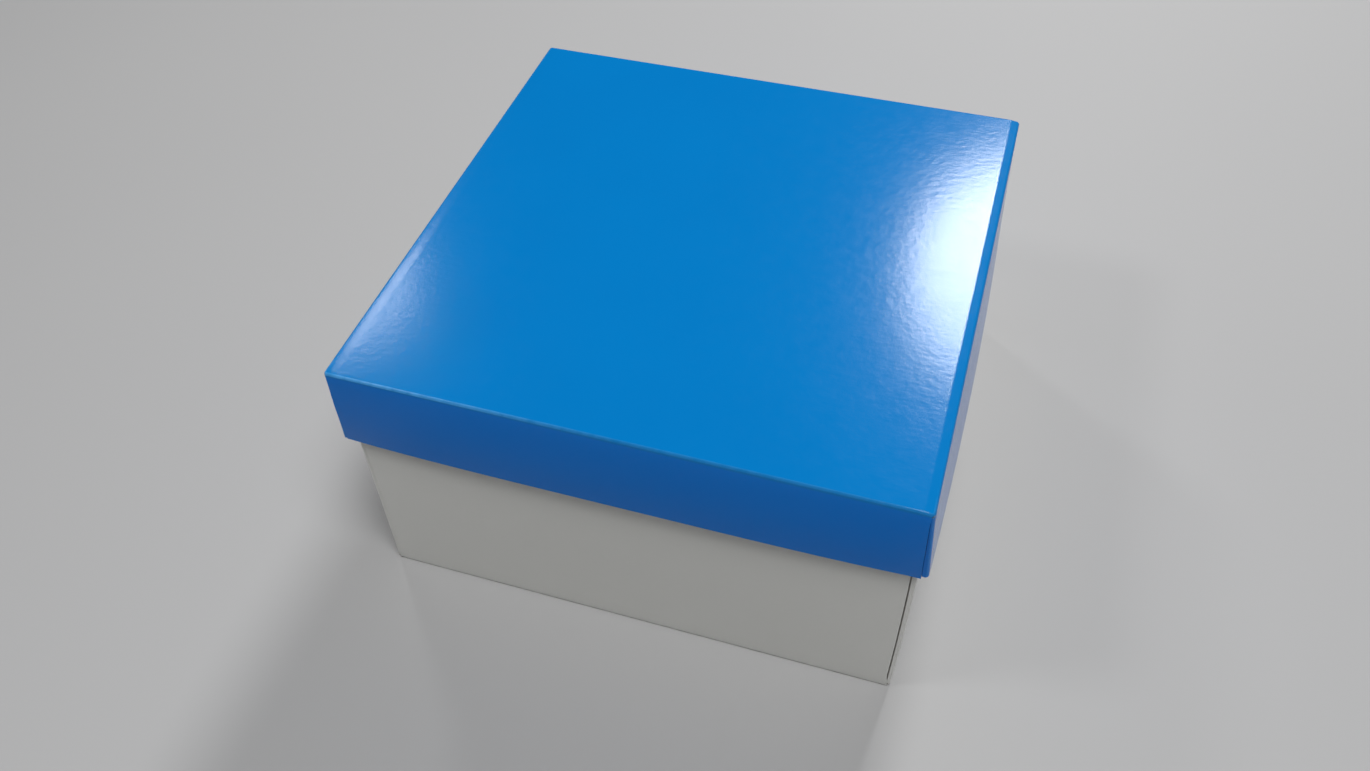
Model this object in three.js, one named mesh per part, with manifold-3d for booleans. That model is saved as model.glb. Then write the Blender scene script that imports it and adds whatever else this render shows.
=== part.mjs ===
// Cardboard freezer box for cryogenic tubes: a square tray, a lid that telescopes over it, and a lift-out divider of
// sixteen slotted strips that makes nine by nine cells.
// Millimetres, +Z up. The origin is the centre of the tray's underside, on the surface that the box stands on.
// The tray and the lid are each folded from one blank: the left and right walls carry a glue flap at both ends, and
// each flap lies behind the front or back wall, held there by a film of glue.
import * as THREE from "three";
import { mergeVertices } from "three/addons/utils/BufferGeometryUtils.js";
import Module from "manifold-3d";

// Driving dimensions
const BOX_WIDTH = 133; // outside of the lid, both ways
const BOX_HEIGHT = 72; // table to lid top, lid seated
const LID_HEIGHT = 22; // the lid's own outside height
const LID_OVERHANG = 1.7; // from the tray's outer face out to the lid's outer face, on each side
const BOARD = 0.5; // folding boxboard of the tray and the lid
const STRIP_BOARD = 0.6; // board of the divider strips
const CELLS = 9; // cells along each side
const CELL_PITCH = 14.2; // strip centre to strip centre
const DIVIDER_HEIGHT = 42;

// Small dimensions of folds, flaps and clearances
const CREASE_INNER = 0.1; // inside radius of a folded crease
const CREASE_OUTER = CREASE_INNER + BOARD;
const CREASE_STEPS = 3; // flats along each crease's arc
const GLUE_GAP = 0.2; // between a wall and the flap behind it
const GLUE_FILM = 0.12;
const FLAP_RELIEF = 1.2; // the flap stays this far from the panel and from the rim
const FLAP_TAPER = 3; // how much narrower the flap is at its tip, at each edge
const RIM_GAP = 0.2; // between the tray's rim and the lid's underside
const STAND_GAP = 0.2; // between the divider and the tray's floor
const END_GAP = 0.3; // between a strip's end and the wall
const SLOT_PLAY = 0.3; // how much wider and deeper a slot is than it needs
const STRIP_CHAMFER = 1.5; // at a strip's lower corners
const SLOT_MOUTH = 0.6; // flare of a slot's mouth, to each side

// Worked out from those
const TRAY_WIDTH = BOX_WIDTH - 2 * LID_OVERHANG;
const TRAY_HEIGHT = BOX_HEIGHT - BOARD - RIM_GAP;
const TRAY_FLAP = 18; // length of the tray's glue flaps
const LID_FLAP = 16; // length of the lid's glue flaps
const FLAP_SINK = BOARD + GLUE_GAP; // from a wall's outer face to its flap's outer face
const SIDE_ROOM = TRAY_WIDTH - 2 * BOARD; // inside width between the left and right walls
const END_ROOM = TRAY_WIDTH - 2 * (FLAP_SINK + BOARD); // inside depth between the front and back flaps

// Looks, for the plain view
const BLUE_BOARD = { color: 0x0673c2, roughness: 0.3, metalness: 0 };
const WHITE_BOARD = { color: 0xd8d8d2, roughness: 0.6, metalness: 0 };
const STRIP_STOCK = { color: 0xe4e2da, roughness: 0.75, metalness: 0 };
const DRIED_GLUE = { color: 0xd9c690, roughness: 0.4, metalness: 0 };

const wasm = await Module();
wasm.setup();

// Moves between three.js geometry and manifold-3d solids

function solidOf(geometry) {
  const bare = geometry.index ? geometry.toNonIndexed() : geometry.clone();
  bare.deleteAttribute("normal");
  bare.deleteAttribute("uv");
  const merged = mergeVertices(bare, 1e-4);
  return new wasm.Manifold(
    new wasm.Mesh({
      numProp: 3,
      vertProperties: new Float32Array(merged.attributes.position.array),
      triVerts: new Uint32Array(merged.index.array),
    }),
  );
}

function geometryOf(solid) {
  const mesh = solid.getMesh();
  const geometry = new THREE.BufferGeometry();
  geometry.setAttribute("position", new THREE.BufferAttribute(mesh.vertProperties, 3));
  geometry.setIndex(new THREE.BufferAttribute(mesh.triVerts, 1));
  const flat = geometry.toNonIndexed();
  flat.computeVertexNormals();
  return flat;
}

const joined = (geometries) =>
  geometryOf(geometries.map(solidOf).reduce((sum, next) => sum.add(next)));

const common = (a, b) => geometryOf(solidOf(a).intersect(solidOf(b)));

// Prisms: an outline swept along an axis and centred on it

function outline(points) {
  return new THREE.Shape(points.map(([u, v]) => new THREE.Vector2(u, v)));
}

function prism(shape, length) {
  return new THREE.ExtrudeGeometry(shape, {
    depth: length,
    bevelEnabled: false,
    curveSegments: CREASE_STEPS,
  }).translate(0, 0, -length / 2);
}

const alongY = (shape, length) => prism(shape, length).rotateX(Math.PI / 2); // outline in X and Z
const alongX = (shape, length) => alongY(shape, length).rotateZ(Math.PI / 2); // outline in Y and Z

function slab(x0, x1, y0, y1, z0, z1) {
  return new THREE.BoxGeometry(x1 - x0, y1 - y0, z1 - z0).translate((x0 + x1) / 2, (y0 + y1) / 2, (z0 + z1) / 2);
}

// A panel with an upright wall at each side, and a rounded crease between them, seen from its end.
function channelOutline(half, height) {
  const turn = half - CREASE_OUTER; // where the panel ends and each crease begins
  const shape = new THREE.Shape();
  shape.moveTo(-half, height);
  shape.lineTo(-half, CREASE_OUTER);
  shape.absarc(-turn, CREASE_OUTER, CREASE_OUTER, Math.PI, 1.5 * Math.PI, false);
  shape.lineTo(turn, 0);
  shape.absarc(turn, CREASE_OUTER, CREASE_OUTER, 1.5 * Math.PI, 2 * Math.PI, false);
  shape.lineTo(half, height);
  shape.lineTo(half - BOARD, height);
  shape.lineTo(half - BOARD, CREASE_OUTER);
  shape.absarc(turn, CREASE_OUTER, CREASE_INNER, 2 * Math.PI, 1.5 * Math.PI, true);
  shape.lineTo(-turn, BOARD);
  shape.absarc(-turn, CREASE_OUTER, CREASE_INNER, 1.5 * Math.PI, Math.PI, true);
  shape.lineTo(BOARD - half, height);
  shape.closePath();
  return shape;
}

// The right wall with its two flaps, seen from above: a flat C.
function flappedWallOutline(half, flapLength) {
  const turn = half - CREASE_OUTER;
  const flapFace = half - FLAP_SINK; // the flaps' outer faces
  const flapTurn = flapFace - CREASE_OUTER;
  const tip = turn - flapLength;
  const shape = new THREE.Shape();
  shape.moveTo(tip, -flapFace);
  shape.lineTo(turn, -flapFace);
  shape.absarc(turn, -flapTurn, CREASE_OUTER, 1.5 * Math.PI, 2 * Math.PI, false);
  shape.lineTo(half, flapTurn);
  shape.absarc(turn, flapTurn, CREASE_OUTER, 0, 0.5 * Math.PI, false);
  shape.lineTo(tip, flapFace);
  shape.lineTo(tip, flapFace - BOARD);
  shape.lineTo(turn, flapFace - BOARD);
  shape.absarc(turn, flapTurn, CREASE_INNER, 0.5 * Math.PI, 0, true);
  shape.lineTo(half - BOARD, -flapTurn);
  shape.absarc(turn, -flapTurn, CREASE_INNER, 2 * Math.PI, 1.5 * Math.PI, true);
  shape.lineTo(tip, BOARD - flapFace);
  shape.closePath();
  return shape;
}

// The right wall with its two flaps as a solid, with the flaps tapered towards their tips.
function flappedWall(half, height, flapLength) {
  const turn = half - CREASE_OUTER;
  const tip = turn - flapLength;
  const low = CREASE_OUTER;
  const sweep = prism(flappedWallOutline(half, flapLength), height - low).translate(0, 0, (height + low) / 2);
  const elevation = outline([
    [tip, FLAP_RELIEF + FLAP_TAPER],
    [turn, FLAP_RELIEF],
    [turn, low],
    [half + 1, low],
    [half + 1, height],
    [turn, height],
    [turn, height - FLAP_RELIEF],
    [tip, height - FLAP_RELIEF - FLAP_TAPER],
  ]);
  return common(sweep, alongY(elevation, 2 * half + 2));
}

// An open tray folded from one blank, standing on z = 0. The cut ends of its front and back walls stop where the side
// walls' corner creases begin.
function foldedBlank(width, height, flapLength) {
  const half = width / 2;
  const channel = channelOutline(half, height);
  const wall = () => flappedWall(half, height, flapLength);
  return joined([
    alongY(channel, 2 * (half - FLAP_SINK - CREASE_OUTER)),
    alongX(channel, 2 * (half - CREASE_OUTER)),
    wall(),
    wall().rotateZ(Math.PI),
  ]);
}

// A film of dried glue in one corner of a blank, between a flap and its wall.
function glueFilm(width, height, flapLength, side, end) {
  const half = width / 2;
  const margin = 3;
  const middle = half - BOARD - GLUE_GAP / 2;
  const inner = half - CREASE_OUTER - flapLength + margin;
  const outer = half - CREASE_OUTER - margin;
  const low = FLAP_RELIEF + FLAP_TAPER + margin / 2;
  const film = slab(inner, outer, middle - GLUE_FILM / 2, middle + GLUE_FILM / 2, low, height - low);
  return film.translate(side > 0 ? 0 : -(inner + outer), end > 0 ? 0 : -2 * middle, 0);
}

// A divider strip lying along X with its foot on z = 0, and slots open upwards or downwards.
function strip(length, slotsOpenUp) {
  const half = length / 2;
  const slotHalf = (STRIP_BOARD + SLOT_PLAY) / 2;
  const slotEnd = DIVIDER_HEIGHT / 2 - SLOT_PLAY / 2; // height of a slot's closed end, if it is open upwards
  const slotted = [[-half, DIVIDER_HEIGHT]];
  for (let i = 1; i < CELLS; i++) {
    const x = (i - CELLS / 2) * CELL_PITCH;
    slotted.push(
      [x - slotHalf - SLOT_MOUTH, DIVIDER_HEIGHT],
      [x - slotHalf, DIVIDER_HEIGHT - 2 * SLOT_MOUTH],
      [x - slotHalf, slotEnd],
      [x + slotHalf, slotEnd],
      [x + slotHalf, DIVIDER_HEIGHT - 2 * SLOT_MOUTH],
      [x + slotHalf + SLOT_MOUTH, DIVIDER_HEIGHT],
    );
  }
  slotted.push([half, DIVIDER_HEIGHT]);
  const upright = [
    ...slotted,
    [half, STRIP_CHAMFER],
    [half - STRIP_CHAMFER, 0],
    [STRIP_CHAMFER - half, 0],
    [-half, STRIP_CHAMFER],
  ];
  const inverted = [
    ...slotted.map(([x, z]) => [x, DIVIDER_HEIGHT - z]),
    [half, DIVIDER_HEIGHT],
    [-half, DIVIDER_HEIGHT],
  ];
  return alongY(outline(slotsOpenUp ? upright : inverted), STRIP_BOARD);
}

// The assembly

const box = new THREE.Group();

function add(name, geometry, material, parent = box) {
  const mesh = new THREE.Mesh(geometry, new THREE.MeshStandardMaterial(material));
  mesh.name = name;
  parent.add(mesh);
  return mesh;
}

const CORNERS = [
  ["front_left", -1, -1],
  ["front_right", 1, -1],
  ["back_left", -1, 1],
  ["back_right", 1, 1],
];

const tray = new THREE.Group();
add("base_tray", foldedBlank(TRAY_WIDTH, TRAY_HEIGHT, TRAY_FLAP), WHITE_BOARD, tray);
for (const [corner, side, end] of CORNERS)
  add(`tray_glue_${corner}`, glueFilm(TRAY_WIDTH, TRAY_HEIGHT, TRAY_FLAP, side, end), DRIED_GLUE, tray);
box.add(tray);

// The lid is the same kind of folded blank, turned upside down. Turning it about X swaps its front and back.
const lid = new THREE.Group();
add("lid", foldedBlank(BOX_WIDTH, LID_HEIGHT, LID_FLAP), BLUE_BOARD, lid);
for (const [corner, side, end] of CORNERS)
  add(`lid_glue_${corner}`, glueFilm(BOX_WIDTH, LID_HEIGHT, LID_FLAP, side, -end), DRIED_GLUE, lid);
lid.rotation.x = Math.PI;
lid.position.z = BOX_HEIGHT;
box.add(lid);

// Lengthwise strips run along X with their slots open upwards. Crosswise strips run along Y, slots open downwards.
const divider = new THREE.Group();
for (let i = 1; i < CELLS; i++) {
  const offset = (i - CELLS / 2) * CELL_PITCH;
  add(`lengthwise_strip_${i}`, strip(SIDE_ROOM - 2 * END_GAP, true), STRIP_STOCK, divider).position.y = offset;
  const crosswise = add(`crosswise_strip_${i}`, strip(END_ROOM - 2 * END_GAP, false), STRIP_STOCK, divider);
  crosswise.rotation.z = Math.PI / 2;
  crosswise.position.x = offset;
}
divider.position.z = BOARD + STAND_GAP;
box.add(divider);

export default box;
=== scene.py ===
# %% [markdown]
# # A cardboard freezer box for cryogenic tubes
# The real box is folded board and nothing else: a white tray, a gloss blue lid that slides down over it,
# and a divider of slotted strips that stands in the tray and makes nine by nine cells. The measured model
# of it comes first, as a fixed frame. This lesson builds the look of each piece around that frame and never
# moves the frame.

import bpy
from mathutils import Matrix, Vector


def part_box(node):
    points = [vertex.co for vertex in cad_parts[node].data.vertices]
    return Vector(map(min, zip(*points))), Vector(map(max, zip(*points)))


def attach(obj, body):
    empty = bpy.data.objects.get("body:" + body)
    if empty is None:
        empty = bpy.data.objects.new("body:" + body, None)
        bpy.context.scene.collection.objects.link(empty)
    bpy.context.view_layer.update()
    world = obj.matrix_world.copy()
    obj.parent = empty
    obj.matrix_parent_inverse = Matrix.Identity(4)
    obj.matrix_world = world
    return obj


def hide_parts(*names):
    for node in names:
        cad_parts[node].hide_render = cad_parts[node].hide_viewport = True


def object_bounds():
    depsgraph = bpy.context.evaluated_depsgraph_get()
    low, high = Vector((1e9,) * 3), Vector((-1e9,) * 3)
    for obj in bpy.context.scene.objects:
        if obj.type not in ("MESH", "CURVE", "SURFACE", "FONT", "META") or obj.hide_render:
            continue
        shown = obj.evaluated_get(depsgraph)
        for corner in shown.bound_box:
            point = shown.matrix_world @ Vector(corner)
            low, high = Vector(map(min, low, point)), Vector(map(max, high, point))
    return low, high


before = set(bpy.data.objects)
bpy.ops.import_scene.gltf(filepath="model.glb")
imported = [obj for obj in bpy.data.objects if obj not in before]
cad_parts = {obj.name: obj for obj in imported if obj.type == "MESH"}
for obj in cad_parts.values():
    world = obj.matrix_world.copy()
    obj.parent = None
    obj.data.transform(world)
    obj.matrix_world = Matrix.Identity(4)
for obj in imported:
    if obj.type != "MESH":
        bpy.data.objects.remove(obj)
cad_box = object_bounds()

# %% [markdown]
# ## Sizes
# Every place comes from the frame: the lid's box, the tray's box and each strip's box. Only the board's own
# small sizes, such as its thickness and the radius of a crease, are written here, and they are the ones
# that the measured model was made with.

# %% Take the sizes from the frame
import math

import bmesh
import bpy
from mathutils import Matrix, Vector

MM = 0.001
BOARD = 0.5 * MM  # thickness of the lid's and the tray's board
CREASE = 0.6 * MM  # outside radius of a folded crease
FLAP_SINK = 0.7 * MM  # how far a glue flap lies behind the wall that is glued over it

lid_low, lid_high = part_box("lid")
tray_low, tray_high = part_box("base_tray")
LID_WIDTH = lid_high.x - lid_low.x
LID_HEIGHT = lid_high.z - lid_low.z
TRAY_WIDTH = tray_high.x - tray_low.x
TRAY_HEIGHT = tray_high.z - tray_low.z
print(f"lid {LID_WIDTH / MM:.1f} mm wide and {LID_HEIGHT / MM:.1f} mm high")
print(f"tray {TRAY_WIDTH / MM:.1f} mm wide and {TRAY_HEIGHT / MM:.1f} mm high")

# %% [markdown]
# ## The camera
# The box is seen from above its front right corner, at arm's length, with a phone's wide lens. The eye's
# place is given from the middle of the lid's top, in lid widths, so that it follows the frame. Three turns
# aim it: the heading round Z, the pitch below the horizon and a slight roll of the hand.

# %% Set up the camera
EYE = Vector((0.488, -1.572, 1.418))  # from the middle of the lid's top, in lid widths
HEADING = math.radians(18.8)
PITCH = math.radians(47.9)
ROLL = math.radians(1.8)
LENS = 31.4

camera_data = bpy.data.cameras.new("camera")
camera_data.lens = LENS
camera_data.clip_start = 0.01
camera = bpy.data.objects.new("camera", camera_data)
bpy.context.scene.collection.objects.link(camera)
turn_to_box = Matrix.Rotation(HEADING, 4, "Z")
tip_down = Matrix.Rotation(math.pi / 2 - PITCH, 4, "X")
tilt_hand = Matrix.Rotation(-ROLL, 4, "Z")
eye_place = Matrix.Translation(EYE * LID_WIDTH + Vector((0, 0, lid_high.z)))
camera.matrix_world = eye_place @ turn_to_box @ tip_down @ tilt_hand
bpy.context.scene.camera = camera
print("camera at", [round(x, 3) for x in camera.location])

# %% [markdown]
# ## Folding a sheet of board
# A carton starts as a flat blank. Each wall is rolled up round a crease, and a glue flap at each end of the
# two side walls is rolled round a crease of its own. Spin does exactly that to a row of edges: it carries
# them a quarter turn round a hinge line and leaves board behind. Extrude then draws the wall out straight.
# The alternative, bending a solid box, would need cuts at every corner and would lose the thin open seams
# that a real carton shows.

# %% Roll a crease and draw out a wall
CREASE_STEPS = 6


def only(kind, parts):
    return [part for part in parts if isinstance(part, kind)]


def edges_where(bm, test):
    return [edge for edge in bm.edges if all(test(vert.co) for vert in edge.verts)]


def roll(bm, edges, hinge, axis):
    """Carries edges a quarter turn round a crease. Returns the edges at the far side of the crease."""
    mark = bm.verts.layers.float["crease"]
    older = set(bm.verts)
    corners = {vert for edge in edges for vert in edge.verts}
    turned = bmesh.ops.spin(
        bm, geom=[*corners, *edges], cent=hinge, axis=axis, angle=math.pi / 2, steps=CREASE_STEPS
    )
    far = only(bmesh.types.BMEdge, turned["geom_last"])
    far_corners = {vert for edge in far for vert in edge.verts}
    for vert in bm.verts:
        if vert not in older and vert not in far_corners:
            vert[mark] = 1.0
    return far


def draw_out(bm, edges, reach, rows):
    """Extends board beyond edges by the vector reach, in equal rows. Returns the last row's edges."""
    for _ in range(rows):
        grown = bmesh.ops.extrude_edge_only(bm, edges=edges)["geom"]
        edges = only(bmesh.types.BMEdge, grown)
        bmesh.ops.translate(bm, verts=only(bmesh.types.BMVert, grown), vec=Vector(reach) / rows)
    return edges


# %% [markdown]
# ## One blank for both
# The tray and the lid are the same kind of blank. The side walls carry the glue flaps. At each corner the
# board turns round a crease, stays level with the front wall for a moment, and then dips behind it. That
# leaves the thin dark slit beside the front wall's cut end that every glued carton has. Where three creases
# meet, a small facet closes the corner. The sheet that is built here is the board's outer skin only;
# thickness comes later, once the shape is right.

# %% Fold a whole blank
TINY = 0.01 * MM
FOLD_SINK = 0.12 * MM  # the corner's fold lies this far behind the front wall's face
FLAP_RELIEF = 1.2 * MM  # a flap's edge is cut back this far from the panel
RIM_RELIEF = 0.4 * MM  # and this far from the rim
FLAP_TAPER = 3.0 * MM  # and this much more at its tip
CORNER_RUN = 1.4 * MM  # a corner that is trimmed at the rim gets back to full height over this length
DIP_ROWS = 4
FLAP_ROWS = 5
DIP_SHARE = 0.7  # the front wall's end covers the last part of the dip, from here on
PANEL_CELLS = 44


def folded_blank(width, height, flap_length, wall_rows, shoulder, dip, slits, corner_cuts):
    """The outer skin of an open tray on z = 0. Returns the bmesh and the vertices of each wall.

    shoulder is how far the fold runs on level with the front wall, and dip is how long it takes to go
    behind it. slits tells how deep the slit is at the left and the right corners, and corner_cuts how
    far the rim is trimmed there."""
    half = width / 2
    turn = half - CREASE
    fold_turn = turn - FOLD_SINK
    bm = bmesh.new()
    bm.verts.layers.float.new("crease")
    bmesh.ops.create_grid(bm, x_segments=PANEL_CELLS, y_segments=PANEL_CELLS, size=turn)
    for end in (-1, 1):
        everything = [*bm.verts, *bm.edges, *bm.faces]
        fold_line = (0, end * fold_turn, 0)
        bmesh.ops.bisect_plane(bm, geom=everything, plane_co=fold_line, plane_no=(0, 1, 0))
    walls = {}

    for name, end in (("front", -1), ("back", 1)):
        older = set(bm.verts)
        start = edges_where(bm, lambda co: abs(co.y - end * turn) < TINY and abs(co.z) < TINY)
        rim = roll(bm, start, (0, end * turn, CREASE), (end, 0, 0))
        draw_out(bm, rim, (0, 0, height - CREASE), wall_rows)
        walls[name] = [vert for vert in bm.verts if vert not in older]
        cut_back_ends(walls[name], turn, shoulder + DIP_SHARE * dip)

    for name, side in (("left", -1), ("right", 1)):
        older = set(bm.verts)
        start = edges_where(
            bm,
            lambda co: abs(co.x - side * turn) < TINY
            and abs(co.y) < fold_turn + TINY
            and abs(co.z) < TINY,
        )
        rim = roll(bm, start, (side * turn, 0, CREASE), (0, -side, 0))
        draw_out(bm, rim, (0, 0, height - CREASE), wall_rows)
        for end in (-1, 1):
            before_flap = set(bm.verts)
            cut = edges_where(
                bm,
                lambda co: abs(co.x - side * half) < TINY
                and abs(co.y - end * fold_turn) < TINY
                and co.z > CREASE - TINY,
            )
            tip = roll(bm, cut, (side * turn, end * fold_turn, 0), (0, 0, side * end))
            tip = draw_out(bm, tip, (-side * shoulder, 0, 0), 1)
            tip = dip_behind(bm, tip, -side * dip, -end * (slits[name] - FOLD_SINK))
            tip = draw_out(bm, tip, (-side * dip, end * (slits[name] - FLAP_SINK), 0), 1)
            draw_out(bm, tip, (-side * flap_length, 0, 0), FLAP_ROWS)
            flap = {vert for vert in bm.verts if vert not in before_flap}
            flap |= {vert for edge in cut for vert in edge.verts}
            trim_flap(flap, half, height, flap_length, corner_cuts[name])
            close_corner(bm, side, end, turn, fold_turn, half)
        walls[name] = [vert for vert in bm.verts if vert not in older]

    bmesh.ops.remove_doubles(bm, verts=bm.verts[:], dist=TINY / 10)
    bmesh.ops.recalc_face_normals(bm, faces=bm.faces[:])
    bm.faces.ensure_lookup_table()
    if min(bm.faces, key=lambda face: face.calc_center_median().length).normal.z > 0:
        bmesh.ops.reverse_faces(bm, faces=bm.faces[:])
    for name in walls:
        walls[name] = [vert for vert in walls[name] if vert.is_valid]
    return bm, walls


def smooth_step(value):
    value = max(0.0, min(1.0, value))
    return value * value * (3 - 2 * value)


def cut_back_ends(verts, turn, setback):
    """Moves a wall's two cut ends inwards. Right at its crease the wall still reaches the corner."""
    for vert in verts:
        if abs(vert.co.x) > turn - TINY:
            clear_of_crease = smooth_step((vert.co.z - CREASE) / FLAP_RELIEF)
            vert.co.x -= math.copysign(setback * clear_of_crease, vert.co.x)


def dip_behind(bm, edges, run, sink):
    """Carries edges on by run along X while they sink by sink along Y, in a soft S."""
    sunk = 0.0
    for row in range(DIP_ROWS):
        step = sink * smooth_step((row + 1) / DIP_ROWS) - sunk
        edges = draw_out(bm, edges, (run / DIP_ROWS, step, 0), 1)
        sunk += step
    return edges


def trim_flap(verts, half, height, flap_length, corner_cut):
    """Narrows a flap from its crease to its tip, so that it clears the panel, the rim and the next wall."""
    low, high = CREASE, height
    for vert in verts:
        reach = half - abs(vert.co.x)
        taper = FLAP_TAPER * max(0.0, reach - CREASE) / flap_length
        bottom = low + (FLAP_RELIEF - CREASE) * min(1.0, reach / CREASE) + taper
        rim_cut = corner_cut + (RIM_RELIEF - corner_cut) * smooth_step(reach / CORNER_RUN)
        top = high - rim_cut - taper
        vert.co.z = bottom + (top - bottom) * (vert.co.z - low) / (high - low)


def close_corner(bm, side, end, turn, fold_turn, half):
    """Bridges the ends of the two creases that meet at a corner of the panel."""

    def ends_crease(co):
        at_fold = abs(co.y - end * fold_turn) < TINY and side * co.x > turn - TINY
        at_wall = abs(co.x - side * turn) < TINY and end * co.y > turn - TINY
        return co.z < CREASE + TINY and (at_fold or at_wall)

    def climbs(edge):
        return abs(edge.verts[0].co.z - edge.verts[1].co.z) > TINY / 10

    arcs = [edge for edge in edges_where(bm, ends_crease) if climbs(edge)]
    bmesh.ops.bridge_loops(bm, edges=arcs)


# %% [markdown]
# ## Shader maths in plain Python
# A finish is a small recipe of noise, masks and mixes. Wired by hand, such a recipe is hard to read, so one
# class wraps a socket and lets Python's own operators add the Math nodes. A second class holds the material
# and has one method for every other kind of node.

# %% Wrap sockets and materials
NOISE_ROUGHNESS = 0.55  # how strongly the finer layers of a noise show


class Term:
    """A socket that Python can do sums with. Each sum adds a Math node."""

    def __init__(self, finish, socket):
        self.finish = finish
        self.socket = socket

    def maths(self, operation, first, second):
        return self.finish.node("ShaderNodeMath", {"operation": operation}, {0: first, 1: second})

    def __add__(self, other):
        return self.maths("ADD", self, other)

    def __radd__(self, other):
        return self.maths("ADD", other, self)

    def __mul__(self, other):
        return self.maths("MULTIPLY", self, other)

    def __rmul__(self, other):
        return self.maths("MULTIPLY", other, self)


class Finish:
    """A material, or the world, while it is being mixed."""

    def __init__(self, name, kind=bpy.data.materials):
        self.made = kind.new(name)
        self.made.use_nodes = True
        self.tree = self.made.node_tree
        self.tree.nodes.clear()

    def node(self, kind, settings=None, feeds=None, output=0):
        """Adds a node with its settings, then sets or links its inputs. Returns one of its outputs."""
        node = self.tree.nodes.new(kind)
        for key, value in (settings or {}).items():
            setattr(node, key, value)
        for key, value in (feeds or {}).items():
            if isinstance(value, Term):
                self.tree.links.new(value.socket, node.inputs[key])
            else:
                node.inputs[key].default_value = value
        return Term(self, node.outputs[output]) if node.outputs else None

    def place(self):
        return self.node("ShaderNodeTexCoord", output="Object")

    def part_of_place(self, letter):
        return self.node("ShaderNodeSeparateXYZ", feeds={"Vector": self.place()}, output=letter)

    def noise(self, scale, detail=3.0, stretch=None):
        """Noise from 0 to 1 that is fixed to the piece. stretch pulls it out along an axis."""
        where = self.place()
        if stretch:
            where = self.node("ShaderNodeMapping", feeds={"Vector": where, "Scale": stretch})
        return self.node(
            "ShaderNodeTexNoise",
            feeds={"Vector": where, "Scale": scale, "Detail": detail, "Roughness": NOISE_ROUGHNESS},
        )

    def fade(self, value, low, high, start=0.0, stop=1.0):
        """start where value is below low, stop where it is above high, and smooth between."""
        return self.node(
            "ShaderNodeMapRange",
            {"interpolation_type": "SMOOTHSTEP"},
            {"Value": value, "From Min": low, "From Max": high, "To Min": start, "To Max": stop},
        )

    def blend(self, factor, first, second):
        """A colour mix. The inputs go by number, because a Mix node repeats the names A and B."""
        return self.node("ShaderNodeMix", {"data_type": "RGBA"}, {0: factor, 6: first, 7: second}, output=2)

    def bump(self, height, depth, under=None):
        feeds = {"Height": height, "Distance": depth, "Strength": 1.0}
        if under:
            feeds["Normal"] = under
        return self.node("ShaderNodeBump", feeds=feeds)

    def shine(self, **feeds):
        """Ends the recipe with the one shader. Underscores in the names stand for spaces."""
        named = {key.replace("_", " "): value for key, value in feeds.items()}
        surface = self.node("ShaderNodeBsdfPrincipled", feeds=named)
        self.node("ShaderNodeOutputMaterial", feeds={"Surface": surface})
        return self.made


# %% [markdown]
# ## Gloss blue laminate
# The lid's board is printed blue and covered with a thin gloss film. The film follows the paper's fibres,
# so a lamp's reflection has a hard bright middle and a mottled edge of fine threads. The ink is paler along
# the front crease, most of all near its left end: partly worn ink and partly a painted highlight where the
# crease glints. The walls take a bluer copy of the ink, which is painted light that stands in for how the
# light falls on them. A coat over a rough base would also look glossy, but it spreads a wide milky glow
# that film doesn't have, so there is one sharp layer of gloss, and a bump breaks it up.

# %% Mix the blue laminate
INK = (0.0014, 0.205, 0.575, 1.0)
INK_DEEP = (0.0012, 0.190, 0.545, 1.0)
# painted light: a bluer copy of the ink for the walls, standing in for how the light falls on them
INK_WALL_PAINTED_LIGHT = (0.0004, 0.188, 0.70, 1.0)
# pale blue of worn ink and of a painted glint on the front crease
INK_WORN_AND_GLINT = (0.090, 0.400, 0.850, 1.0)
FILM_TINT = (0.86, 0.93, 1.0, 1.0)
MOTTLE_DEPTH = 0.019 * MM
THREAD_DEPTH = 0.010 * MM
MOST_WEAR_AND_GLINT = 0.85  # how far the ink goes pale, from worn ink and a painted glint, where the crease shows them most


def mix_blue_laminate():
    blue = Finish("blue_laminate")
    across, along, height = (blue.part_of_place(letter) for letter in "XYZ")
    # where the walls' painted light goes: everywhere below the top's crease
    painted_wall_light = blue.fade(height, lid_high.z - 2 * CREASE, lid_high.z - 0.5 * CREASE, 1.0, 0.0)
    crease = blue.node("ShaderNodeAttribute", {"attribute_name": "crease"}, output="Fac")
    cloud = blue.noise(30.0, detail=2.0)
    near_left = blue.fade(across, -0.42 * LID_WIDTH, 0.05 * LID_WIDTH, 1.0, 0.25)
    in_front = blue.fade(along, -0.48 * LID_WIDTH, -0.46 * LID_WIDTH, 1.0, 0.15)
    rub_and_glint_speckle = blue.fade(blue.noise(420.0, detail=4.0), 0.25, 0.60, 0.45, 1.0)
    # painted highlight: the front crease's glint near its left end, mixed with worn ink
    wear_and_glint = rub_and_glint_speckle * near_left * in_front * crease * MOST_WEAR_AND_GLINT
    # painted light: the walls take the bluer copy of the ink
    ink = blue.blend(painted_wall_light, blue.blend(cloud, INK_DEEP, INK), INK_WALL_PAINTED_LIGHT)
    ink = blue.blend(wear_and_glint, ink, INK_WORN_AND_GLINT)
    mottle = blue.bump(blue.noise(640.0, detail=2.0), MOTTLE_DEPTH)
    fibres = blue.noise(900.0, detail=3.0, stretch=(0.25, 1.0, 1.0))
    threads = blue.bump(fibres, THREAD_DEPTH, under=mottle)
    polish = blue.noise(300.0, detail=3.0) * 0.08 + 0.11
    return blue.shine(
        Base_Color=ink,
        Roughness=polish,
        IOR=1.3,
        Specular_IOR_Level=0.4,
        Specular_Tint=FILM_TINT,
        Normal=threads,
    )


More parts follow.
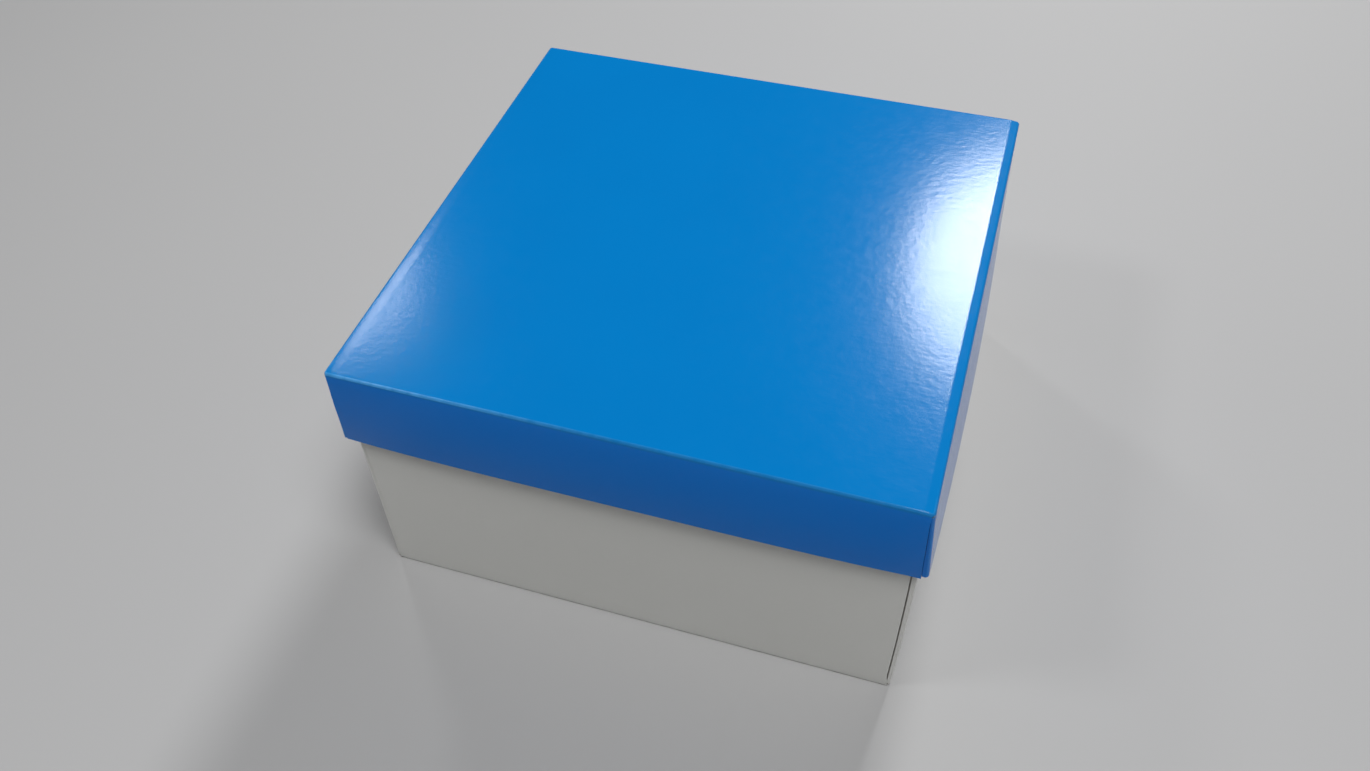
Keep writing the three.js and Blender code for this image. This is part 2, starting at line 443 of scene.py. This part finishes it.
# %% [markdown]
# ## White board, its cut edges and the strips
# Folding boxboard is coated white outside, with wood fibres just visible as a faint drawn-out mottle. Where
# it has been cut, the core shows: greyer, rough, in thin layers. The divider strips are uncoated, so they
# are matter and carry darker flecks. One function makes them all, because they differ only in their
# numbers.

# %% Mix the boards
FLECK_SHADE = 0.45  # a fleck's colour and a scuffed crease's, as shares of the board's darker tone
SCUFF_SHADE = 0.80
MOST_SCUFF = 0.35
LINT_DEPTH = 0.03 * MM
TOOTH_DEPTH = 0.004 * MM


def darker(colour, share):
    return tuple(share * part for part in colour[:3]) + (1.0,)


def mix_board(name, light, shade, roughness, fleck=0.0):
    """A papery white finish. light and shade are the two colours of its mottle."""
    board = Finish(name)
    cloud = board.noise(24.0, detail=3.0)
    grain = board.noise(700.0, detail=4.0, stretch=(1.0, 0.22, 1.0))
    tone = board.blend(cloud * 0.5 + grain * 0.5, shade, light)
    if fleck:
        specks = board.fade(board.noise(900.0, detail=1.0), 0.70, 0.80) * fleck
        tone = board.blend(specks, tone, darker(shade, FLECK_SHADE))
    crease = board.node("ShaderNodeAttribute", {"attribute_name": "crease"}, output="Fac")
    scuff = board.fade(board.noise(500.0, detail=3.0), 0.45, 0.7) * crease * MOST_SCUFF
    tone = board.blend(scuff, tone, darker(shade, SCUFF_SHADE))
    tooth = board.bump(grain, TOOTH_DEPTH)
    return board.shine(Base_Color=tone, Roughness=grain * 0.16 + (roughness - 0.08), Normal=tooth)


def mix_cut_edge(name, light, shade):
    """The torn-looking core of the board where a knife has cut it."""
    core = Finish(name)
    layers = core.noise(1500.0, detail=4.0)
    lint = core.noise(4200.0, detail=2.0)
    tone = core.blend(core.fade(layers, 0.3, 0.7), shade, light)
    rough = core.bump(lint, LINT_DEPTH)
    return core.shine(Base_Color=tone, Roughness=0.9, Normal=rough)


BLUE_LAMINATE = mix_blue_laminate()
WHITE_BOARD = mix_board("white_board", (0.80, 0.80, 0.765, 1), (0.765, 0.768, 0.735, 1), roughness=0.46)
BOARD_REVERSE = mix_board(
    "board_reverse", (0.69, 0.68, 0.64, 1), (0.62, 0.61, 0.57, 1), roughness=0.72, fleck=0.25
)
STRIP_BOARD = mix_board(
    "strip_board", (0.75, 0.735, 0.69, 1), (0.68, 0.665, 0.62, 1), roughness=0.78, fleck=0.35
)
CUT_EDGE = mix_cut_edge("cut_edge", (0.62, 0.60, 0.55, 1), (0.40, 0.385, 0.35, 1))
BLUE_CUT_EDGE = mix_cut_edge("blue_cut_edge", (0.30, 0.46, 0.62, 1), (0.12, 0.27, 0.46, 1))
print("board finishes:", WHITE_BOARD.name, BOARD_REVERSE.name, STRIP_BOARD.name)

# %% [markdown]
# ## Dried glue
# Carton glue dries to a thin amber film. Hardly any of it shows between a flap and its wall, so the
# measured film stays as it is and only gets a finish: patchy colour where the film was thick or thin, and a
# soft gloss.

# %% Mix the glue and put it on the films
GLUE_SKIN_DEPTH = 0.02 * MM


def mix_glue():
    glue = Finish("dried_glue")
    patches = glue.fade(glue.noise(260.0, detail=3.0), 0.35, 0.7)
    tone = glue.blend(patches, (0.62, 0.50, 0.26, 1), (0.78, 0.70, 0.48, 1))
    skin = glue.bump(glue.noise(600.0, detail=2.0), GLUE_SKIN_DEPTH)
    return glue.shine(Base_Color=tone, Roughness=0.38 + 0.2 * patches, Normal=skin)


DRIED_GLUE = mix_glue()
films = [node for name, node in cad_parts.items() if "_glue_" in name]
for film in films:
    film.material_slots[0].material = DRIED_GLUE
print(len(films), "glue films")

# %% [markdown]
# ## From skin to board
# A finished skin becomes board with a Solidify modifier, which puts the thickness on the inner side and
# gives the inside and the cut rim their own materials. A very small Bevel takes the razor edge off the
# cuts, so that they catch the light as cut board does.

# %% Turn a skin into a piece
CUT_SOFTNESS = 0.06 * MM
CUT_ANGLE = math.radians(50)  # sharper corners than this are cuts, and the creases are rounder


def make_board(name, bm, thickness, offset, finishes):
    """Makes an object from a skin. finishes are the outside, the inside and the cut edge."""
    mesh = bpy.data.meshes.new(name)
    bm.to_mesh(mesh)
    bm.free()
    mesh.shade_smooth()
    for finish in finishes:
        mesh.materials.append(finish)
    piece = bpy.data.objects.new(name, mesh)
    bpy.context.scene.collection.objects.link(piece)
    thicken = piece.modifiers.new("thickness", "SOLIDIFY")
    thicken.thickness = thickness
    thicken.offset = offset
    thicken.use_even_offset = True
    thicken.use_quality_normals = True
    thicken.material_offset = 1
    thicken.material_offset_rim = 2
    soften = piece.modifiers.new("cut_softness", "BEVEL")
    soften.width = CUT_SOFTNESS
    soften.segments = 1
    soften.limit_method = "ANGLE"
    soften.angle_limit = CUT_ANGLE
    soften.harden_normals = True
    print(name, len(mesh.polygons), "faces before thickness")
    return piece


# %% [markdown]
# ## The tray
# The tray is white board. Its walls are held only at their creases and corners, so each one bows a hair
# between them, and its panel lies flat on the bench. The right wall also leans out and bulges by about half
# a millimetre. All of this has to stay small: the lid's flaps slide past with only half a millimetre of
# room.

# %% Build the tray
TRAY_WALL_ROWS = 18
TRAY_FLAP = 17 * MM
TRAY_SHOULDER = 0.25 * MM
TRAY_DIP = 0.5 * MM
TRAY_SLITS = {"left": 0.35 * MM, "right": 1.6 * MM}  # the left corners were glued up tighter
TRAY_CORNER_CUTS = {"left": 0.0, "right": 0.0}
TRAY_BOW = 0.20 * MM
TRAY_LEAN = 0.60 * MM  # the right wall's rim stands out a little
TRAY_BELLY = 0.55 * MM  # and the same wall bulges a little, corners and all
TRAY_END_PULL = 0.8  # the share of that lean which the front and back walls' ends follow


def depth_below(vert, hinge, rim):
    """0 at a wall's crease, at height hinge, and 1 at its rim."""
    return max(0.0, (vert.co.z - hinge) / (rim - hinge))


def bow(verts, axis, half, hinge, rim, amount, belly=0.0):
    """Bows a wall outwards along axis at its rim, where only the corners hold it.
    belly bulges it between its crease and its rim as well, because a creased wall springs back a little."""
    for vert in verts:
        depth = depth_below(vert, hinge, rim)
        share = min(1.0, abs(vert.co[1 - axis]) / half)
        rise = amount * depth * (1 - share**4) + belly * 4 * depth * (1 - depth)
        vert.co[axis] += math.copysign(rise, vert.co[axis])


def lean(walls, name, half, hinge, rim, lean_at, pull, belly=0.0):
    """Leans a side wall out about its crease. What is glued to its flaps follows by the share pull.

    lean_at tells how far the rim goes out, from -1 at the wall's front end to 1 at its back end."""
    side = -1 if name == "left" else 1
    turn = half - CREASE

    def reach_out(vert):
        depth = depth_below(vert, hinge, rim)
        return side * (depth * lean_at(vert.co.y / half) + belly * 4 * depth * (1 - depth))

    for vert in walls[name]:
        follow = 1.0 if abs(vert.co.x) > turn - TINY else pull
        vert.co.x += follow * reach_out(vert)
    for other in ("front", "back"):
        for vert in walls[other]:
            if side * vert.co.x > 0:
                vert.co.x += pull * smooth_step(abs(vert.co.x) / turn) ** 2 * reach_out(vert)


def even_lean(amount):
    return lambda along: amount


tray_skin, tray_walls = folded_blank(
    TRAY_WIDTH,
    TRAY_HEIGHT,
    TRAY_FLAP,
    TRAY_WALL_ROWS,
    TRAY_SHOULDER,
    TRAY_DIP,
    TRAY_SLITS,
    TRAY_CORNER_CUTS,
)
tray_half = TRAY_WIDTH / 2
tray_creases = (tray_half, tray_low.z, tray_high.z)
lean(tray_walls, "right", *tray_creases, even_lean(TRAY_LEAN), TRAY_END_PULL, TRAY_BELLY)
for name, axis in (("front", 1), ("back", 1), ("left", 0), ("right", 0)):
    bow(tray_walls[name], axis, *tray_creases, TRAY_BOW)
white_tray = make_board("white_tray", tray_skin, BOARD, -1, (WHITE_BOARD, BOARD_REVERSE, CUT_EDGE))
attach(white_tray, "tray")
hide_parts("base_tray")

# %% [markdown]
# ## The lid
# The lid is the same blank upside down. Its right wall was glued a touch open: its rim stands out about two
# millimetres at the middle, less at the front corner, and next to nothing at the back. That lean is what
# shows as a thin strip beside the lid's right edge. The leaning wall pulls the ends of the front and back
# walls a little way along with it. The panel has a slight crown, from the pull of the creases. It climbs by
# a quarter of a millimetre towards the right, and then a narrow pressed band along the right crease brings
# it back down. The band is tilted just enough to mirror the dark part of the room, so the bright reflection
# stops short of the edge, in a crisp line. The board climbs first because the crease can't sit lower: the
# tray's rim is only a fifth of a millimetre below it.

# %% Build the lid
LID_WALL_ROWS = 8
LID_FLAP = 15 * MM
LID_SHOULDER = 0.06 * MM
LID_DIP = 0.12 * MM
LID_SLITS = {"left": 0.3 * MM, "right": 0.45 * MM}
LID_CORNER_CUTS = {"left": -0.25 * MM, "right": 0.9 * MM}  # the die ran a little askew
LEAN_FRONT = 1.4 * MM
LEAN_MIDDLE = 2.2 * MM
LEAN_BACK = 0.2 * MM
LEFT_LEAN = 0.6 * MM
END_PULL = 0.45  # the share of a side wall's lean that the front and back walls' ends follow
LID_BOW = 0.85 * MM
LID_BELLY = 0.6 * MM
LID_CROWN = 0.2 * MM
PRESSED_BAND = 2.3 * MM  # the panel's right edge is pressed down over this width
PRESSED_DROP = 0.26 * MM
BAND_EASE = 0.35 * MM  # an edge this far on each side of the band's border keeps the border crisp


def right_lean(along):
    """How far the right wall's rim stands out, from along = -1 at the front to 1 at the back."""
    slope = (LEAN_BACK - LEAN_FRONT) / 2
    sag = LEAN_MIDDLE - (LEAN_BACK + LEAN_FRONT) / 2
    return LEAN_MIDDLE + slope * along - sag * along**2


lid_skin, lid_walls = folded_blank(
    LID_WIDTH, LID_HEIGHT, LID_FLAP, LID_WALL_ROWS, LID_SHOULDER, LID_DIP, LID_SLITS, LID_CORNER_CUTS
)
turn_over = Matrix.Rotation(math.pi, 3, "X")
bmesh.ops.rotate(lid_skin, verts=lid_skin.verts[:], cent=(0, 0, 0), matrix=turn_over)
bmesh.ops.translate(lid_skin, verts=lid_skin.verts[:], vec=(0, 0, lid_high.z))
lid_walls["front"], lid_walls["back"] = lid_walls["back"], lid_walls["front"]
lid_half = LID_WIDTH / 2
for width in (PRESSED_BAND + BAND_EASE, PRESSED_BAND, PRESSED_BAND - BAND_EASE, PRESSED_BAND / 2):
    panel = [face for face in lid_skin.faces if face.calc_center_median().z > lid_high.z - TINY]
    parts = {part for face in panel for part in (face, *face.edges, *face.verts)}
    place = (lid_half - width, 0, 0)
    bmesh.ops.bisect_plane(lid_skin, geom=list(parts), plane_co=place, plane_no=(1, 0, 0))
for vert in lid_skin.verts:
    up_to_band = min(1.0, (vert.co.x + lid_half) / (LID_WIDTH - PRESSED_BAND))
    past = (vert.co.x - (lid_half - PRESSED_BAND)) / (PRESSED_BAND - CREASE)
    vert.co.z += PRESSED_DROP * (up_to_band - max(0.0, min(1.0, past)))
lid_creases = (lid_half, lid_high.z, lid_low.z)
lean(lid_walls, "right", *lid_creases, right_lean, END_PULL)
lean(lid_walls, "left", *lid_creases, even_lean(LEFT_LEAN), END_PULL)
for name in ("front", "back"):
    bow(lid_walls[name], 1, *lid_creases, LID_BOW, LID_BELLY)
for vert in lid_skin.verts:
    if vert.co.z > lid_high.z - TINY:
        across = 1 - (vert.co.x / lid_half) ** 4
        along = 1 - (vert.co.y / lid_half) ** 4
        vert.co.z += LID_CROWN * across * along
blue_lid = make_board("blue_lid", lid_skin, BOARD, -1, (BLUE_LAMINATE, BOARD_REVERSE, BLUE_CUT_EDGE))
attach(blue_lid, "lid")
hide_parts("lid")

# %% [markdown]
# ## The divider
# Each strip is a plain rectangle with eight slots cut from one edge to half its height. Lengthwise strips
# have their slots on top and crosswise strips have them below, so they push together into a grid. A grid
# sheet is cut by planes at each slot's sides and end, and the faces inside the slots are deleted: that is
# how the die cuts it. Between crossings the board weaves very slightly from side to side, as slotted board
# does.

# %% Cut a strip
STRIP_BOARD_THICKNESS = 0.6 * MM
SLOT_WIDTH = 0.9 * MM
SLOT_MOUTH = 0.6 * MM  # how far a slot's mouth flares, to each side
SLOT_SPARE = 0.15 * MM  # how far a slot runs past half the strip's height
WEAVE = 0.14 * MM
FOOT_CUT = 1.5 * MM  # the lower corners are cut off, so that they clear the tray's creases


def middle_and_size(node):
    low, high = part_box(node)
    return (low + high) / 2, high - low


def slice_at(bm, axis, place):
    """Adds a line of edges across the sheet where axis has the value place."""
    normal = Vector((axis == 0, 0, axis == 2))
    everything = [*bm.verts, *bm.edges, *bm.faces]
    bmesh.ops.bisect_plane(bm, geom=everything, plane_co=normal * place, plane_no=normal)


def cut_strip(length, height, crossings, slots_on_top, turn_of_weave):
    """A strip's sheet, upright in the XZ plane, with its middle at the origin."""
    bm = bmesh.new()
    bm.verts.layers.float.new("crease")
    bmesh.ops.create_grid(bm, x_segments=1, y_segments=1, size=0.5)
    bmesh.ops.scale(bm, verts=bm.verts[:], vec=(length, height, 1))
    stand_up = Matrix.Rotation(math.pi / 2, 3, "X")
    bmesh.ops.rotate(bm, verts=bm.verts[:], cent=(0, 0, 0), matrix=stand_up)
    pitch = (crossings[-1] - crossings[0]) / (len(crossings) - 1)
    up = 1 if slots_on_top else -1
    slot_end = -up * SLOT_SPARE
    mouth = up * (height / 2 - 2 * SLOT_MOUTH)
    for crossing in crossings:
        for place in (-pitch / 2, -pitch / 4, -SLOT_WIDTH / 2, SLOT_WIDTH / 2, pitch / 4):
            slice_at(bm, 0, crossing + place)
    slice_at(bm, 0, crossings[-1] + pitch / 2)
    slice_at(bm, 2, slot_end)
    slice_at(bm, 2, mouth)

    def in_slot(point):
        near = min(abs(point.x - crossing) for crossing in crossings)
        return near < SLOT_WIDTH / 2 and up * point.z > up * slot_end

    waste = [face for face in bm.faces if in_slot(face.calc_center_median())]
    bmesh.ops.delete(bm, geom=waste, context="FACES")
    for vert in bm.verts:
        nearest = min(crossings, key=lambda crossing: abs(vert.co.x - crossing))
        gap = vert.co.x - nearest
        at_edge = up * vert.co.z > height / 2 - TINY
        if at_edge and abs(abs(gap) - SLOT_WIDTH / 2) < TINY:
            vert.co.x += math.copysign(SLOT_MOUTH, gap)
        phase = math.pi * (vert.co.x - crossings[0]) / pitch
        vert.co.y += turn_of_weave * WEAVE * math.sin(phase)
    feet = [
        vert
        for vert in bm.verts
        if vert.co.z < TINY - height / 2 and abs(vert.co.x) > length / 2 - TINY
    ]
    bmesh.ops.bevel(bm, geom=feet, offset=FOOT_CUT, affect="VERTICES", segments=1, profile=0.5, material=-1)
    return bm


# %% Lay the strips in both directions
strip_names = [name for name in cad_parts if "_strip_" in name]
lengthwise = sorted(name for name in strip_names if name.startswith("lengthwise"))
crosswise = sorted(name for name in strip_names if name.startswith("crosswise"))
places = {
    0: [middle_and_size(name)[0].x for name in crosswise],
    1: [middle_and_size(name)[0].y for name in lengthwise],
}


def lay_strip(node, axis, number):
    """Cuts a strip for a CAD strip that runs along axis, and puts it where that one is."""
    middle, size = middle_and_size(node)
    skin = cut_strip(size[axis], size.z, places[axis], axis == 0, (-1) ** number)
    if axis == 1:
        quarter_turn = Matrix.Rotation(math.pi / 2, 3, "Z")
        bmesh.ops.rotate(skin, verts=skin.verts[:], cent=(0, 0, 0), matrix=quarter_turn)
    bmesh.ops.translate(skin, verts=skin.verts[:], vec=middle)
    finishes = (STRIP_BOARD, STRIP_BOARD, CUT_EDGE)
    strip = make_board(node.replace("strip", "board"), skin, STRIP_BOARD_THICKNESS, 0, finishes)
    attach(strip, "divider")
    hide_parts(node)


for number, node in enumerate(lengthwise):
    lay_strip(node, 0, number)
for number, node in enumerate(crosswise):
    lay_strip(node, 1, number)

# %% [markdown]
# ## Floor and light
# The box stands on a plain pale floor. Two lamps behind it are placed where the lid mirrors them to the
# eye, one past its right edge and one past its left edge, so that only a slice of each shows. A wide soft
# lamp, high up and a little in front, lights the walls steeply, which puts the lid's shadow on the tray as
# a dark band below the rim. A small lamp high on the left makes the front crease glint. The room is dim,
# and darkest behind the box, high up: that is what the middle of the lid mirrors, and it keeps the blue
# deep.

# %% Lay the floor
FLOOR_REACH = 3.0
FLOOR_GAP = 0.1 * MM  # keeps the floor and the tray's underside from flickering into each other


def mix_floor():
    pale = Finish("pale_floor")
    cloud = pale.noise(3.0, detail=2.0)
    tone = pale.blend(cloud, (0.465, 0.465, 0.47, 1), (0.50, 0.50, 0.50, 1))
    return pale.shine(Base_Color=tone, Roughness=0.7)


floor_bm = bmesh.new()
bmesh.ops.create_grid(floor_bm, x_segments=1, y_segments=1, size=FLOOR_REACH)
floor_mesh = bpy.data.meshes.new("floor")
floor_bm.to_mesh(floor_mesh)
floor_bm.free()
floor_mesh.materials.append(mix_floor())
floor = bpy.data.objects.new("floor", floor_mesh)
bpy.context.scene.collection.objects.link(floor)
floor.location.z = cad_box[0].z - FLOOR_GAP
print("floor", 2 * FLOOR_REACH, "m across")

# %% Hang the lamps


def hang_lamp(name, spot, bearing, elevation, distance, size, power):
    """A lamp that faces spot. bearing is in degrees from straight back, positive to the right."""
    turn = math.radians(bearing)
    rise = math.radians(elevation)
    away = Vector((math.sin(turn) * math.cos(rise), math.cos(turn) * math.cos(rise), math.sin(rise)))
    data = bpy.data.lights.new(name, "AREA")
    data.shape = "ELLIPSE"
    data.size, data.size_y = size
    data.energy = power
    lamp = bpy.data.objects.new(name, data)
    bpy.context.scene.collection.objects.link(lamp)
    lamp.location = spot + away * distance
    lamp.rotation_mode = "QUATERNION"
    lamp.rotation_quaternion = away.to_track_quat("Z", "Y")
    return lamp


def on_lid(x, y):
    return Vector((x * LID_WIDTH, y * LID_WIDTH, lid_high.z))


lamps = [
    hang_lamp(
        "right_lamp",
        on_lid(0.56, -0.035),
        bearing=2.2,
        elevation=40.6,
        distance=1.0,
        size=(0.215, 0.230),
        power=5.7,
    ),
    hang_lamp(
        "left_lamp",
        on_lid(-0.765, -0.29),
        bearing=-39,
        elevation=40,
        distance=1.0,
        size=(0.14, 0.16),
        power=1.0,
    ),
    hang_lamp(
        "overhead_lamp",
        on_lid(0, -0.2),
        bearing=140,
        elevation=66,
        distance=0.9,
        size=(0.42, 0.34),
        power=4.3,
    ),
    hang_lamp(
        "crease_lamp",
        on_lid(-0.35, -0.5),
        bearing=-119,
        elevation=58,
        distance=0.7,
        size=(0.16, 0.12),
        power=0.7,
    ),
]
print("lamps:", [lamp.name for lamp in lamps])

# %% Fill the room
ROOM_LIGHT = 0.07
PATCH_LIGHT = 0.012
PATCH_BEARING = math.radians(-20)
PATCH_RISE = math.radians(42)
PATCH_REACH = (math.radians(28), math.radians(50))  # dark inside the first, gone outside the second
ROOM_TINT = (0.97, 0.98, 1.0, 1)


def fill_room():
    room = Finish("soft_room", bpy.data.worlds)
    patch = (
        math.sin(PATCH_BEARING) * math.cos(PATCH_RISE),
        math.cos(PATCH_BEARING) * math.cos(PATCH_RISE),
        math.sin(PATCH_RISE),
    )
    looking = room.node("ShaderNodeTexCoord", output="Generated")
    facing = room.node(
        "ShaderNodeVectorMath", {"operation": "DOT_PRODUCT"}, {0: looking, 1: patch}, output="Value"
    )
    inner, outer = (math.cos(angle) for angle in PATCH_REACH)
    light = room.fade(facing, outer, inner, ROOM_LIGHT, PATCH_LIGHT)
    glow = room.node("ShaderNodeBackground", feeds={"Color": ROOM_TINT, "Strength": light})
    room.node("ShaderNodeOutputWorld", feeds={"Surface": glow})
    return room.made


bpy.context.scene.world = fill_room()
bpy.context.scene.view_settings.view_transform = "Standard"
print("room light", ROOM_LIGHT, "and", PATCH_LIGHT, "in the dark patch")
